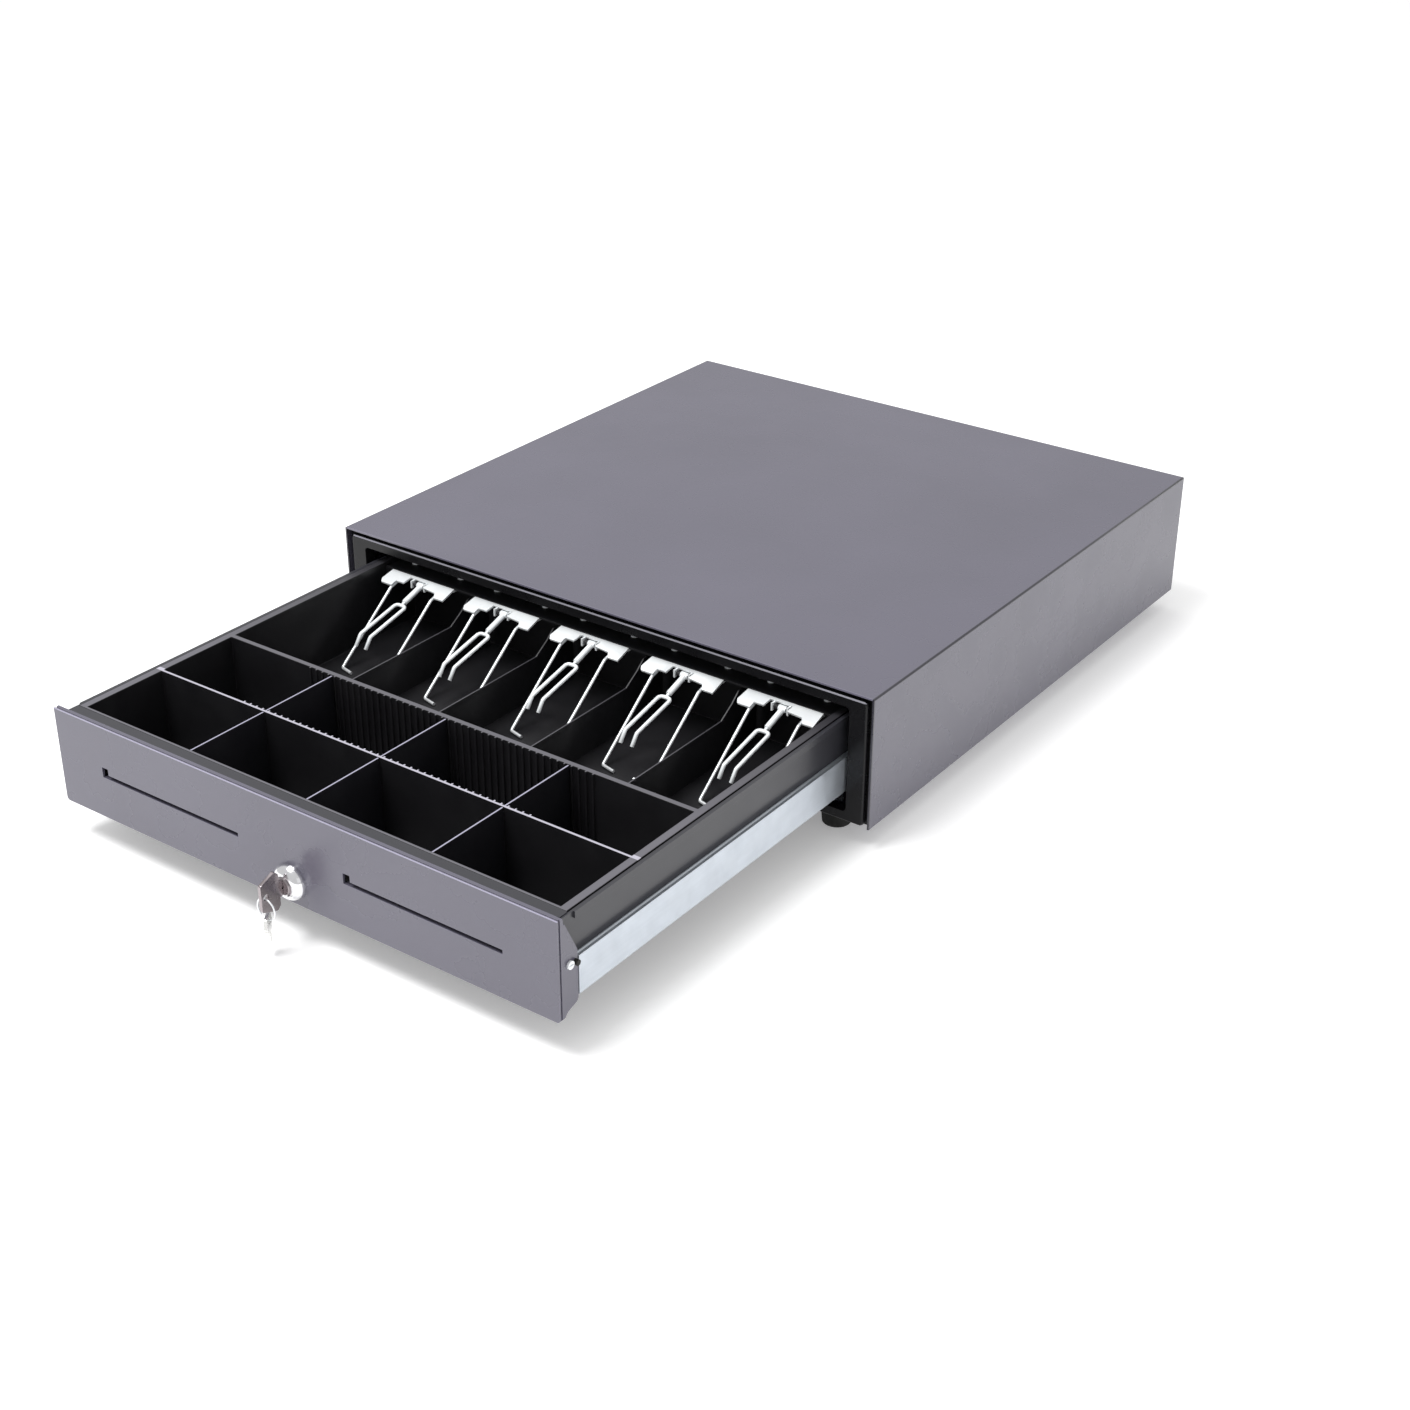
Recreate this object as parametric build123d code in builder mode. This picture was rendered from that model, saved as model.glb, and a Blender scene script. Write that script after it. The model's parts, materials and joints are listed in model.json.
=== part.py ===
from build123d import *
import math
import os

# Electric cash drawer: a sheet-steel cabinet on four rubber feet, and a drawer on ball-bearing
# slides that carries a removable till with coin bins, note bays and sprung note clips.
# Millimetres. +Z is up, -Y is the side that faces the cashier, and the origin is on the counter
# under the middle of the cabinet. The drawer stands open, and closes by sliding 259 mm along +Y.

os.makedirs("parts", exist_ok=True)

# --- Driving dimensions -------------------------------------------------------------------------
cabinet_width = 410.0
cabinet_depth = 408.0
cabinet_height = 86.0
foot_height = 14.0
sheet = 1.2  # thickness of the steel sheet

half_width = cabinet_width / 2
front_y = -cabinet_depth / 2
rear_y = cabinet_depth / 2
base_z = foot_height
top_z = base_z + cabinet_height

# Front bezel, set into the open end of the cover
bezel_face_y = front_y + 0.5
bezel_depth = 8.0
bezel_width = 401.0
bezel_top_z = top_z - 4.0
mouth_half_width = 188.5
mouth_low_z = base_z + 6.5
mouth_high_z = base_z + 75.5

# Drawer front panel
panel_face_y = -463.4
panel_half_width = 185.8
panel_low_z = 22.3
panel_high_z = 83.4
panel_sheet = 1.5
panel_screw_y = -455.0
panel_screw_z = 53.8
panel_screw_radius = 1.5
slot_near_x = 39.5
slot_far_x = 149.5
slot_z = 51.0
slot_height = 2.6

# Drawer pan
pan_half_width = 182.5
pan_front_y = -459.5
pan_rear_y = -165.0
pan_low_z = 28.4
pan_high_z = 80.0

# Till
till_half_width = 180.5
till_inner_half_width = 175.5
till_front_y = -449.6
till_rear_y = -171.8
till_low_z = 29.8
till_floor_z = 31.4
till_high_z = 80.5
coin_wall_y = -391.7  # front face of the wall between the two rows of coin bins
coin_wall_thickness = 1.5
note_wall_y = -335.9  # front face of the wall between the coin bins and the note bays
note_wall_thickness = 3.4
coin_divider_pitch = 90.0
coin_divider_thickness = 1.2
rib_pitch = 5.0
rib_count = 44
note_bay_pitch = 71.0
note_bay_centres = [note_bay_pitch * step for step in (-2, -1, 0, 1, 2)]

# Note clips, measured from each bay's centre line
clip_rear_y = -199.0
clip_rear_z = 77.4
clip_slope = 0.283  # fall of the plate for each millimetre forward
clip_sheet = 1.2
hinge_y = -201.5
hinge_z = 73.2
pin_radius = 1.0
guide_wire_x = 17.4
guide_wire_radius = 1.0
arm_wire_radius = 1.2
tine_x = 4.2

# Slides
slide_z = 43.85
slide_length = 360.0
drawer_rail_front_y = -448.0
cabinet_rail_front_y = -188.8
drawer_rail_half_height = 11.55
ball_radius = 1.5
ball_x = 184.6
ball_offset_z = drawer_rail_half_height + 1.08
groove_depth = 0.5
groove_half_mouth = 1.3
groove_half_floor = 0.5
cage_front_y = -188.0
cage_length = 96.0
balls_in_row = 8

# Lock and keys
lock_z = 36.6
lock_barrel_radius = 9.3
plug_radius = 5.5
plug_nose_y = panel_face_y - 7.8
plug_rear_y = -452.6
blade_length = 13.0
blade_half_width = 3.6
key_thickness = 2.0
key_hole_radius = 1.9
hole_to_end = 3.4
ring_radius = 6.5
ring_wire_radius = 0.5
spare_turn = 35.6  # the spare key hangs turned by this about the vertical

# Latch at the back of the cabinet
latch_pivot_y = 140.0
latch_pivot_z = 52.0
latch_angle = 14.0  # from released, as modelled, to engaged
plunger_y = 157.5

SIDES = (-1, 1)  # left and right


def slab(x_range, y_range, z_range, mode=Mode.ADD):
    """A box between the given limits, in the part being built."""
    spans = (sorted(x_range), sorted(y_range), sorted(z_range))
    sizes = [high - low for low, high in spans]
    centre = [(high + low) / 2 for low, high in spans]
    with Locations(tuple(centre)):
        Box(*sizes, mode=mode)


def rod_along(direction, start, length, radius, mode=Mode.ADD):
    """A cylinder from a start point, along a direction, in the part being built."""
    with Locations(Plane(origin=start, z_dir=direction)):
        Cylinder(radius, length, align=(Align.CENTER, Align.CENTER, Align.MIN), mode=mode)


def bent_wire(points, bend_radius, wire_radius):
    """A round wire through the given points, with every corner bent to one radius."""
    with BuildPart() as wire:
        with BuildLine() as route:
            FilletPolyline(*points, radius=bend_radius)
        with BuildSketch(Plane(origin=route.line @ 0, z_dir=route.line % 0)):
            Circle(wire_radius)
        sweep(path=route.line)
    return wire.part


# --- Cabinet cover: top and sides folded from one sheet, with a lip round the back -------------
lip = 12.0
cover_inner_x = half_width - sheet
fold_radius = 1.0
cover_screw_radius = 1.5
rear_lip_screws = [(-150.0, 92.0), (0.0, 92.0), (150.0, 92.0)]
side_lip_screws = [(side * 197.8, z) for side in SIDES for z in (34.0, 74.0)]
cover_screw_places = rear_lip_screws + side_lip_screws

with BuildPart() as cabinet_cover:
    slab((-half_width, half_width), (front_y, rear_y), (base_z, top_z))
    slab(
        (-cover_inner_x, cover_inner_x),
        (front_y - 1, rear_y + 1),
        (base_z - 1, top_z - sheet),
        mode=Mode.SUBTRACT,
    )
    long_top_edges = cabinet_cover.edges().filter_by(Axis.Y).group_by(Axis.Z)[-1]
    fillet(long_top_edges, fold_radius)
    slab(
        (-cover_inner_x, cover_inner_x),
        (rear_y - sheet, rear_y),
        (top_z - sheet - lip, top_z - sheet),
    )
    for side in SIDES:
        slab(
            (side * cover_inner_x, side * (cover_inner_x - lip)),
            (rear_y - sheet, rear_y),
            (base_z, top_z - sheet),
        )
    for x, z in cover_screw_places:
        rod_along((0, -1, 0), (x, rear_y + 1, z), 5, cover_screw_radius + 0.25, mode=Mode.SUBTRACT)
cabinet_cover.part.label = "cabinet_cover"
export_step(cabinet_cover.part, "parts/cabinet_cover.step")

# --- Base pan: floor, low side flanges and the back wall ----------------------------------------
pan_edge_x = cover_inner_x - 0.2
base_flange = 13.0
base_front_y = bezel_face_y + bezel_depth + 0.2
wall_rear_y = rear_y - sheet - 0.2
foot_places = [(x, y) for x in (-172.0, 172.0) for y in (-186.0, 186.0)]
socket_x = 150.0
socket_low_z = 28.0
socket_width = 15.0
socket_height = 13.0

with BuildPart() as base_pan:
    slab((-pan_edge_x, pan_edge_x), (base_front_y, wall_rear_y), (base_z, base_z + sheet))
    for side in SIDES:
        slab(
            (side * pan_edge_x, side * (pan_edge_x - sheet)),
            (base_front_y, wall_rear_y),
            (base_z, base_z + base_flange),
        )
    slab((-pan_edge_x, pan_edge_x), (wall_rear_y - sheet, wall_rear_y), (base_z, top_z - 2.5))
    slab(
        (socket_x - socket_width / 2, socket_x + socket_width / 2),
        (wall_rear_y - 3, wall_rear_y + 1),
        (socket_low_z, socket_low_z + socket_height),
        mode=Mode.SUBTRACT,
    )
    for x, y in foot_places:
        rod_along((0, 0, 1), (x, y, base_z - 1), 4, 2.2, mode=Mode.SUBTRACT)
    for x, z in cover_screw_places:
        rod_along((0, -1, 0), (x, rear_y, z), 5, cover_screw_radius + 0.1, mode=Mode.SUBTRACT)
base_pan.part.label = "base_pan"
export_step(base_pan.part, "parts/base_pan.step")

# --- Screws that hold the cover's rear lip to the back wall --------------------------------------
with BuildPart() as cover_screws:
    for x, z in cover_screw_places:
        rod_along((0, -1, 0), (x, rear_y, z), 5, cover_screw_radius)
        with Locations(Plane(origin=(x, rear_y, z), z_dir=(0, 1, 0))):
            Cone(3.0, 2.2, 1.6, align=(Align.CENTER, Align.CENTER, Align.MIN))
        slab((x - 2, x + 2), (rear_y + 1, rear_y + 2), (z - 0.4, z + 0.4), mode=Mode.SUBTRACT)
        slab((x - 0.4, x + 0.4), (rear_y + 1, rear_y + 2), (z - 2, z + 2), mode=Mode.SUBTRACT)
cover_screws.part.label = "cover_screws"
export_step(cover_screws.part, "parts/cover_screws.step")

# --- Front bezel: a moulded frame round the drawer's mouth, with a hidden lip behind it ---------
mouth_width = 2 * mouth_half_width
mouth_height = mouth_high_z - mouth_low_z
mouth_mid_z = (mouth_high_z + mouth_low_z) / 2
bezel_height = bezel_top_z - base_z
bezel_lip_depth = 4.0
bezel_wall = 2.5  # thickness round the hollow behind each side bar

with BuildPart() as front_bezel:
    with BuildSketch(Plane.XZ.offset(-bezel_face_y)):
        with Locations((0, base_z + bezel_height / 2)):
            RectangleRounded(bezel_width, bezel_height, 3.0)
    extrude(amount=-bezel_depth)
    face_rim = front_bezel.faces().sort_by(Axis.Y)[0].edges()
    fillet(face_rim, 1.6)
    slab(
        (-pan_edge_x, pan_edge_x),
        (bezel_face_y + bezel_depth - bezel_lip_depth, bezel_face_y + bezel_depth),
        (base_z + 0.2, top_z - sheet - 0.2),
    )
    with BuildSketch(Plane.XZ.offset(-bezel_face_y + 1)):
        with Locations((0, mouth_mid_z)):
            RectangleRounded(mouth_width, mouth_height, 2.5)
    extrude(amount=-bezel_depth - 2, mode=Mode.SUBTRACT)
    for side in SIDES:
        slab(
            (side * (mouth_half_width + bezel_wall), side * (bezel_width / 2 - bezel_wall)),
            (bezel_face_y + bezel_wall, bezel_face_y + bezel_depth + 1),
            (mouth_low_z + 4, mouth_high_z - 4),
            mode=Mode.SUBTRACT,
        )
front_bezel.part.label = "front_bezel"
export_step(front_bezel.part, "parts/front_bezel.step")

# --- Rubber feet, their screws and nuts ----------------------------------------------------------
foot_top_radius = 10.0
foot_base_radius = 8.8
foot_recess_radius = 5.2
foot_recess_depth = 5.0
foot_screw_radius = 2.0
foot_bore_radius = 2.3
foot_head_height = 2.4

with BuildPart() as rubber_feet:
    for x, y in foot_places:
        with BuildSketch(Plane(origin=(x, y, 0), x_dir=(1, 0, 0), z_dir=(0, -1, 0))) as foot_outline:
            Polygon(
                (foot_bore_radius, foot_height),
                (foot_top_radius, foot_height),
                (foot_base_radius, 0),
                (foot_recess_radius, 0),
                (foot_recess_radius, foot_recess_depth),
                (foot_bore_radius, foot_recess_depth),
                align=None,
            )
            fillet(foot_outline.vertices().sort_by(Axis.X)[-2:-1], 1.4)
        revolve(axis=Axis((x, y, 0), (0, 0, 1)))
rubber_feet.part.label = "rubber_feet"
export_step(rubber_feet.part, "parts/rubber_feet.step")

with BuildPart() as foot_screws:
    for x, y in foot_places:
        rod_along((0, 0, 1), (x, y, foot_recess_depth - foot_head_height), foot_head_height, 4.0)
        rod_along((0, 0, 1), (x, y, foot_recess_depth), 14.5, foot_screw_radius)
foot_screws.part.label = "foot_screws"
export_step(foot_screws.part, "parts/foot_screws.step")

with BuildPart() as foot_nuts:
    for x, y in foot_places:
        with BuildSketch(Plane.XY.offset(base_z + sheet)):
            with Locations((x, y)):
                RegularPolygon(4.0, 6)
                Circle(foot_screw_radius + 0.08, mode=Mode.SUBTRACT)
        extrude(amount=3.2)
foot_nuts.part.label = "foot_nuts"
export_step(foot_nuts.part, "parts/foot_nuts.step")

# --- Data socket in the back wall, for the lead from a printer ----------------------------------
with BuildPart() as data_socket:
    slab(
        (socket_x - 7.4, socket_x + 7.4),
        (wall_rear_y - 14, wall_rear_y + 0.8),
        (socket_low_z + 0.1, socket_low_z + socket_height - 0.1),
    )
    slab(
        (socket_x - 5.2, socket_x + 5.2),
        (wall_rear_y - 11, wall_rear_y + 2),
        (socket_low_z + 4.0, socket_low_z + 11.4),
        mode=Mode.SUBTRACT,
    )
    slab(
        (socket_x - 2.6, socket_x + 2.6),
        (wall_rear_y - 11, wall_rear_y + 2),
        (socket_low_z + 2.2, socket_low_z + 4.0),
        mode=Mode.SUBTRACT,
    )
data_socket.part.label = "data_socket"
export_step(data_socket.part, "parts/data_socket.step")

# --- Slides: a cabinet rail, a ball cage and a drawer rail on each side --------------------------
rail_sheet = 1.4
cabinet_rail_inner_half = ball_offset_z + 1.08
cabinet_rail_web_x = 187.7
cabinet_rail_tip_x = 183.2
rail_bracket_x = cabinet_rail_web_x + rail_sheet
rail_screw_ys = [-160.0, 0.0, 150.0]
rail_screw_radius = 1.5
rail_hole_radius = rail_screw_radius + 0.1


def ball_groove(surface_z, inward):
    """The outline of a ball groove, cut from a raceway in the direction inward (1 is up)."""
    floor_z = surface_z + inward * groove_depth
    return Polygon(
        (ball_x - groove_half_mouth, surface_z),
        (ball_x + groove_half_mouth, surface_z),
        (ball_x + groove_half_floor, floor_z),
        (ball_x - groove_half_floor, floor_z),
        align=None,
        mode=Mode.SUBTRACT,
    )


rail_width = rail_bracket_x - cabinet_rail_tip_x
cavity_width = cabinet_rail_web_x - cabinet_rail_tip_x
with BuildPart() as cabinet_rail_right:
    with BuildSketch(Plane.XZ.offset(-cabinet_rail_front_y)):
        with Locations((cabinet_rail_tip_x + rail_width / 2, slide_z)):
            Rectangle(rail_width, 2 * (cabinet_rail_inner_half + rail_sheet))
        with Locations((cabinet_rail_tip_x + cavity_width / 2, slide_z)):
            Rectangle(cavity_width, 2 * cabinet_rail_inner_half, mode=Mode.SUBTRACT)
        for up in (1, -1):
            ball_groove(slide_z + up * cabinet_rail_inner_half, up)
    extrude(amount=-slide_length)
    for y in rail_screw_ys:
        rod_along((1, 0, 0), (cabinet_rail_web_x - 1, y, slide_z), 4, rail_hole_radius, mode=Mode.SUBTRACT)
cabinet_rail_right.part.label = "cabinet_rail_right"
export_step(cabinet_rail_right.part, "parts/cabinet_rail_right.step")

with BuildPart() as cabinet_rail_left:
    mirror(cabinet_rail_right.part, about=Plane.YZ)
cabinet_rail_left.part.label = "cabinet_rail_left"
export_step(cabinet_rail_left.part, "parts/cabinet_rail_left.step")

drawer_rail_outer_x = 186.3
drawer_rail_width = drawer_rail_outer_x - pan_half_width
channel_width = drawer_rail_width - sheet
with BuildPart() as drawer_rail_right:
    with BuildSketch(Plane.XZ.offset(-drawer_rail_front_y)):
        with Locations((pan_half_width + drawer_rail_width / 2, slide_z)):
            Rectangle(drawer_rail_width, 2 * drawer_rail_half_height)
        with Locations((pan_half_width + channel_width / 2, slide_z)):
            Rectangle(channel_width, 2 * (drawer_rail_half_height - sheet), mode=Mode.SUBTRACT)
        for up in (1, -1):
            ball_groove(slide_z + up * drawer_rail_half_height, -up)
    extrude(amount=-slide_length)
drawer_rail_right.part.label = "drawer_rail_right"
export_step(drawer_rail_right.part, "parts/drawer_rail_right.step")

with BuildPart() as drawer_rail_left:
    mirror(drawer_rail_right.part, about=Plane.YZ)
drawer_rail_left.part.label = "drawer_rail_left"
export_step(drawer_rail_left.part, "parts/drawer_rail_left.step")

cage_rear_y = cage_front_y + cage_length
cage_margin = 6.0  # from each end of the cage to the nearest ball
cage_web_xs = (186.75, 187.25)
cage_strip_xs = (182.8, 187.25)
cage_half_height = 13.0
ball_spacing = (cage_length - 2 * cage_margin) / (balls_in_row - 1)
ball_places = [
    (ball_x, cage_front_y + cage_margin + n * ball_spacing, slide_z + up * ball_offset_z)
    for up in (1, -1)
    for n in range(balls_in_row)
]

with BuildPart() as ball_cage_right:
    slab(
        cage_web_xs,
        (cage_front_y, cage_rear_y),
        (slide_z - cage_half_height, slide_z + cage_half_height),
    )
    for up in (1, -1):
        strip_z = slide_z + up * ball_offset_z
        slab(cage_strip_xs, (cage_front_y, cage_rear_y), (strip_z - 0.4, strip_z + 0.4))
    for x, y, z in ball_places:
        rod_along((0, 0, 1), (x, y, z - 1), 2, ball_radius + 0.1, mode=Mode.SUBTRACT)
ball_cage_right.part.label = "ball_cage_right"
export_step(ball_cage_right.part, "parts/ball_cage_right.step")

with BuildPart() as ball_cage_left:
    mirror(ball_cage_right.part, about=Plane.YZ)
ball_cage_left.part.label = "ball_cage_left"
export_step(ball_cage_left.part, "parts/ball_cage_left.step")

with BuildPart() as balls_right:
    with Locations(*ball_places):
        Sphere(ball_radius)
balls_right.part.label = "balls_right"
export_step(balls_right.part, "parts/balls_right.step")

with BuildPart() as balls_left:
    mirror(balls_right.part, about=Plane.YZ)
balls_left.part.label = "balls_left"
export_step(balls_left.part, "parts/balls_left.step")

bracket_floor_z = base_z + sheet
bracket_sheet = 1.5
bracket_high_z = 60.0
bracket_foot_x = 201.5
bracket_ys = (cabinet_rail_front_y + 4, cabinet_rail_front_y + slide_length)
with BuildPart() as rail_bracket_right:
    slab((rail_bracket_x, rail_bracket_x + bracket_sheet), bracket_ys, (bracket_floor_z, bracket_high_z))
    slab((rail_bracket_x, bracket_foot_x), bracket_ys, (bracket_floor_z, bracket_floor_z + bracket_sheet))
    for y in rail_screw_ys:
        rod_along((1, 0, 0), (rail_bracket_x - 1, y, slide_z), 4, rail_hole_radius, mode=Mode.SUBTRACT)
rail_bracket_right.part.label = "rail_bracket_right"
export_step(rail_bracket_right.part, "parts/rail_bracket_right.step")

with BuildPart() as rail_bracket_left:
    mirror(rail_bracket_right.part, about=Plane.YZ)
rail_bracket_left.part.label = "rail_bracket_left"
export_step(rail_bracket_left.part, "parts/rail_bracket_left.step")

with BuildPart() as rail_screws:
    for side in SIDES:
        for y in rail_screw_ys:
            head_x = side * (rail_bracket_x + bracket_sheet)
            rod_along((-side, 0, 0), (head_x, y, slide_z), 2.8, rail_screw_radius)
            rod_along((side, 0, 0), (head_x, y, slide_z), 1.6, 2 * rail_screw_radius)
rail_screws.part.label = "rail_screws"
export_step(rail_screws.part, "parts/rail_screws.step")

# --- Drawer pan: the folded steel tray that the slides carry -------------------------------------
wing_rear_y = drawer_rail_front_y + slide_length
wing_zs = (30.0, 58.0)  # the side walls run on behind the pan as wings that carry the rails
pan_inner_x = pan_half_width - sheet
pan_rim_z = pan_high_z + 0.6  # top of the front wall and its return
pan_slot_margin = 3.0  # openings in the front wall stand this far clear of the panel's slots
lock_cut_xs = (-13.5, 20.5)  # opening in the pan's floor for the lock nut and the cam
lock_cut_rear_y = -449.8
corner_relief = 2.7  # notch at each top front corner

with BuildPart() as drawer_pan:
    slab((-pan_half_width, pan_half_width), (pan_front_y, pan_rear_y), (pan_low_z, pan_low_z + sheet))
    for side in SIDES:
        wall_xs = (side * pan_inner_x, side * pan_half_width)
        slab(wall_xs, (pan_front_y, pan_rear_y), (pan_low_z, pan_high_z))
        slab(wall_xs, (pan_rear_y, wing_rear_y), wing_zs)
        slab(
            (side * pan_half_width, side * (pan_half_width + sheet)),
            (drawer_rail_front_y + 1, pan_rear_y),
            (pan_high_z - 4, pan_high_z),
        )
        screw_start = (side * (pan_inner_x - 1), panel_screw_y, panel_screw_z)
        rod_along((side, 0, 0), screw_start, 4, panel_screw_radius + 0.3, mode=Mode.SUBTRACT)
    pan_inner_xs = (-pan_inner_x, pan_inner_x)
    slab(pan_inner_xs, (pan_rear_y - sheet, pan_rear_y), (pan_low_z, pan_high_z - 2))
    slab(pan_inner_xs, (pan_front_y, pan_front_y + sheet), (pan_low_z, pan_rim_z))
    slab(pan_inner_xs, (pan_front_y, till_front_y - 0.4), (pan_rim_z - sheet, pan_rim_z))
    for side in SIDES:
        slab(
            (side * (slot_near_x - pan_slot_margin), side * (slot_far_x + pan_slot_margin)),
            (pan_front_y - 1, pan_front_y + 3),
            (slot_z - 7, slot_z + 7),
            mode=Mode.SUBTRACT,
        )
        slab(
            (side * (pan_half_width - corner_relief), side * (pan_half_width + 1)),
            (pan_front_y - 1, pan_front_y + 3.3),
            (pan_high_z - 3, pan_high_z + 2),
            mode=Mode.SUBTRACT,
        )
    rod_along((0, 1, 0), (0, pan_front_y - 1, lock_z), 4, lock_barrel_radius + 0.4, mode=Mode.SUBTRACT)
    slab(
        lock_cut_xs,
        (pan_front_y + sheet, lock_cut_rear_y),
        (pan_low_z - 1, pan_low_z + 3),
        mode=Mode.SUBTRACT,
    )
drawer_pan.part.label = "drawer_pan"
export_step(drawer_pan.part, "parts/drawer_pan.step")

# --- Drawer front panel: folded steel face with end flanges, two media slots and a lock hole -----
panel_rear_y = -448.4
return_rear_y = -459.7
panel_inner_x = panel_half_width - sheet
panel_corner_radius = 2.2
notch_width = 5.0
notch_height = 4.0
groove_ys = (panel_face_y + 0.9, panel_face_y + 2.1)  # between the face and each end flange
relief_ys = (return_rear_y + 0.7, return_rear_y + 3.1)  # notch at the top of each end flange
bumper_y = -450.3
bumper_z = 53.0
bumper_radius = 1.7
bumper_stem_radius = 1.3
bumper_stand_off = 2.2

with BuildPart() as drawer_front_panel:
    with BuildSketch(Plane.YZ.offset(-panel_half_width)):
        with BuildLine():
            Polyline(
                (-459.1, panel_low_z),
                (panel_face_y, panel_low_z),
                (panel_face_y, panel_high_z),
                (return_rear_y, panel_high_z),
                (-457.9, 79.0),
                (panel_rear_y, 59.4),
                (panel_rear_y, 31.5),
            )
            Spline(
                (panel_rear_y, 31.5),
                (-453.2, 27.4),
                (-459.1, panel_low_z),
                tangents=[(0, -1), (0, -1)],
            )
        make_face()
    extrude(amount=2 * panel_half_width)
    with BuildSketch(Plane.XZ.offset(-panel_face_y + 1)):
        with Locations((0, (panel_low_z + panel_high_z) / 2)):
            RectangleRounded(2 * panel_half_width, panel_high_z - panel_low_z, panel_corner_radius)
        with Locations((0, panel_high_z - 10)):
            Rectangle(2 * panel_half_width, 20)
    extrude(amount=-30, mode=Mode.INTERSECT)
    slab(
        (-panel_inner_x, panel_inner_x),
        (panel_face_y + panel_sheet, panel_rear_y + 1),
        (panel_low_z + sheet, panel_high_z - sheet),
        mode=Mode.SUBTRACT,
    )
    slab(
        (-panel_inner_x, panel_inner_x),
        (return_rear_y, panel_rear_y + 1),
        (panel_low_z - 1, panel_high_z + 1),
        mode=Mode.SUBTRACT,
    )
    slab(
        (-panel_half_width - 1, panel_half_width + 1),
        (panel_face_y + 0.9, panel_face_y + 1.5),
        (panel_high_z - 0.4, panel_high_z + 1),
        mode=Mode.SUBTRACT,
    )
    for side in SIDES:
        slot_xs = sorted((side * slot_near_x, side * slot_far_x))
        slot_ys = (panel_face_y - 1, panel_face_y + panel_sheet + 1)
        slab(slot_xs, slot_ys, (slot_z - slot_height / 2, slot_z + slot_height / 2), mode=Mode.SUBTRACT)
        slab(
            (slot_xs[0], slot_xs[0] + notch_width),
            slot_ys,
            (slot_z, slot_z + slot_height / 2 + notch_height),
            mode=Mode.SUBTRACT,
        )
        slab(
            slot_xs,
            (panel_face_y + panel_sheet, return_rear_y),
            (slot_z - slot_height / 2 - 1.2, slot_z - slot_height / 2),
        )
        flange_holes = (
            (panel_screw_y, panel_screw_z, panel_screw_radius + 0.3),
            (bumper_y, bumper_z, bumper_stem_radius + 0.05),
        )
        for y, z, radius in flange_holes:
            rod_along((side, 0, 0), (side * (panel_inner_x - 1), y, z), 4, radius, mode=Mode.SUBTRACT)
        slab(
            (side * (panel_half_width - 0.8), side * (panel_half_width + 1)),
            groove_ys,
            (panel_low_z - 1, panel_high_z + 1),
            mode=Mode.SUBTRACT,
        )
        slab(
            (side * (panel_inner_x - 1), side * (panel_half_width + 1)),
            relief_ys,
            (panel_high_z - 4.5, panel_high_z + 1),
            mode=Mode.SUBTRACT,
        )
    panel_hole_radius = lock_barrel_radius + 0.2
    rod_along((0, 1, 0), (0, panel_face_y - 1, lock_z), 4, panel_hole_radius, mode=Mode.SUBTRACT)
drawer_front_panel.part.label = "drawer_front_panel"
export_step(drawer_front_panel.part, "parts/drawer_front_panel.step")

with BuildPart() as panel_screws:
    for side in SIDES:
        head_x = side * panel_half_width
        rod_along((-side, 0, 0), (head_x, panel_screw_y, panel_screw_z), 4.8, panel_screw_radius)
        rod_along((side, 0, 0), (head_x, panel_screw_y, panel_screw_z), 1.5, 2.4)
        slab(
            (head_x + side * 0.8, head_x + side * 2),
            (panel_screw_y - 1.7, panel_screw_y + 1.7),
            (panel_screw_z - 0.4, panel_screw_z + 0.4),
            mode=Mode.SUBTRACT,
        )
panel_screws.part.label = "panel_screws"
export_step(panel_screws.part, "parts/panel_screws.step")

with BuildPart() as closing_bumpers:
    for side in SIDES:
        bumper_foot = (side * panel_half_width, bumper_y, bumper_z)
        rod_along((-side, 0, 0), bumper_foot, 2.2, bumper_stem_radius)
        rod_along((side, 0, 0), bumper_foot, bumper_stand_off, bumper_radius)
closing_bumpers.part.label = "closing_bumpers"
export_step(closing_bumpers.part, "parts/closing_bumpers.step")

# --- Till: one moulded tray, its coin and note dividers ------------------------------------------
till_wall = 1.8
till_rim_thickness = 1.5
till_rear_rim = 4.0
till_inner_front_y = till_front_y + till_wall
till_inner_rear_y = till_rear_y - till_wall
coin_wall_rear_y = coin_wall_y + coin_wall_thickness
note_wall_rear_y = note_wall_y + note_wall_thickness
rib_xs = [rib_pitch * (n - (rib_count - 1) / 2) for n in range(rib_count)]
rib_depth = 1.2
rib_width = 1.2
ledge_z = 76.5
ledge_xs = (till_inner_half_width - 5.5, till_inner_half_width)

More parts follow.
